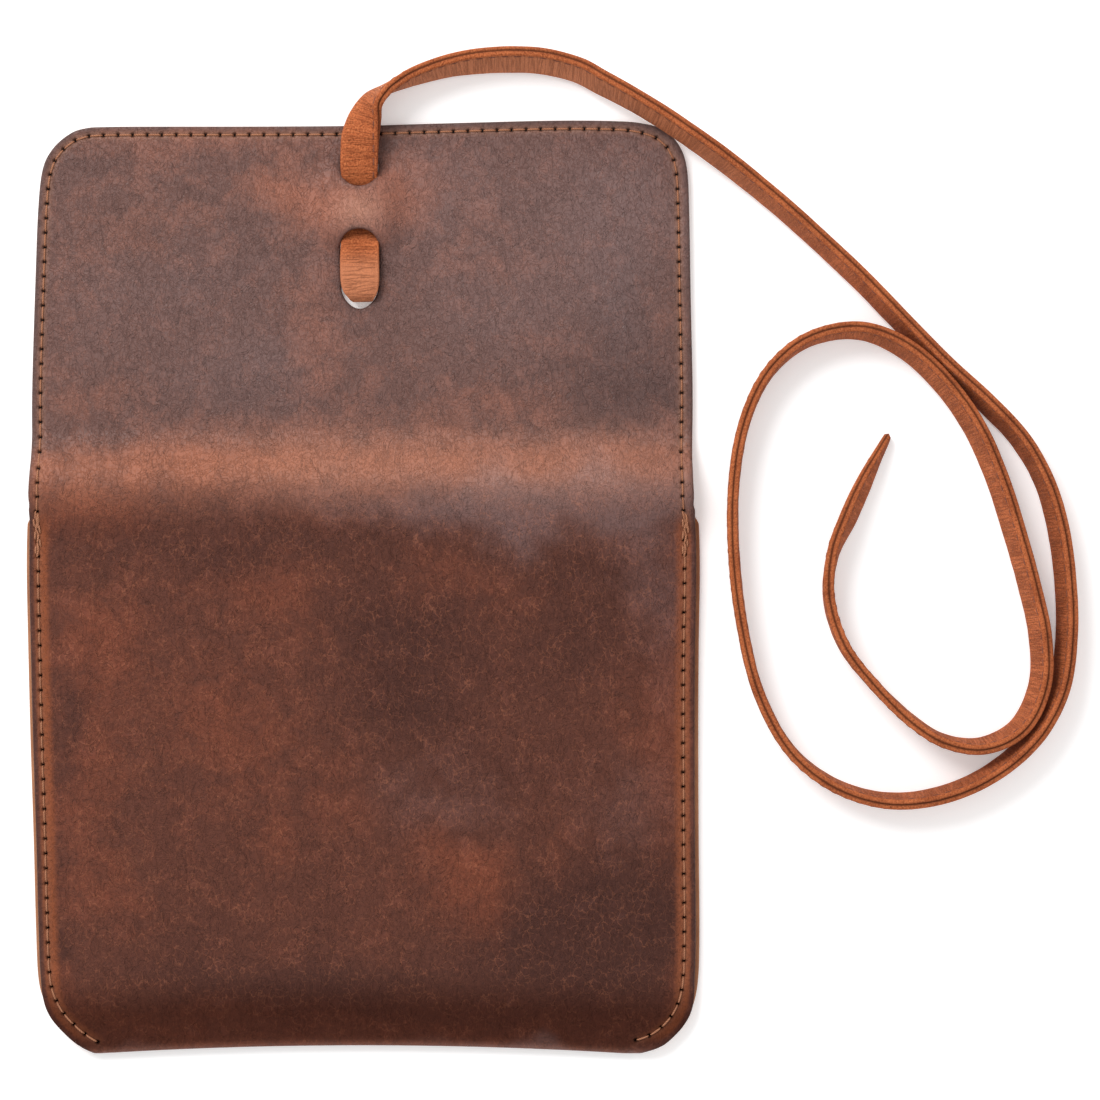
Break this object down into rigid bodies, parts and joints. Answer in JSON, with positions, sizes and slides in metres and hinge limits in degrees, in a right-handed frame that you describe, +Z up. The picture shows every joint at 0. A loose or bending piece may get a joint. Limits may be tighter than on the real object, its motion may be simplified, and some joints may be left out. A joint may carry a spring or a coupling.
{
  "type": "wrap-tie leather pouch",
  "caption": "Flat stitched leather pouch with a fold-over flap laid open, and a long narrow wrap tie laced through two holes in the flap and coiled beside it",
  "frame": {"origin": "middle of the pouch's outline with its flap open, on the surface it lies on", "axes": "+X across the pouch towards the coiled tie, +Y from the bottom fold towards the flap's free edge, +Z up out of the back panel"},
  "size_m": [0.2719, 0.2599, 0.0131],
  "materials": {
    "leather": "waxed pull-up leather, satin, rubbed lighter at folds and edges",
    "lining": "matt unfinished split leather",
    "thread": "waxed tan sewing thread",
    "tie": "brushed, nearly matt orange-brown leather strip",
    "tie_thread": "fine sewing thread"
  },
  "bodies": {
    "pouch": {"front_panel": "leather", "bottom_fold": "leather", "back_panel": "leather", "back_lining": "lining", "side_stitching_left": "thread", "side_stitching_right": "thread", "mouth_bartack_left": "thread", "mouth_bartack_right": "thread"},
    "spine": {"spine_band": "leather", "spine_lining": "lining", "spine_stitching": "thread"},
    "flap": {"flap_panel": "leather", "flap_lining": "lining", "flap_stitching": "thread", "tie_weave": "tie", "tie_twist": "tie", "tie_run": "tie", "tie_hump": "tie", "tie_spiral": "tie", "tie_thread": "tie_thread"}
  },
  "joints": [
    {"name": "spine_fold", "type": "hinge", "parent": "pouch", "child": "spine", "pos_m": [0, 0.0279, 0.00745], "axis": [-1, 0, 0], "range_deg": [0, 59]},
    {"name": "flap_fold", "type": "hinge", "parent": "spine", "child": "flap", "pos_m": [0, 0.03822, 0.00125], "axis": [-1, 0, 0], "range_deg": [0, 121.1]}
  ],
  "couplings": [
    {"joint": "flap_fold", "follows": "spine_fold", "ratio": 2.0508}
  ]
}
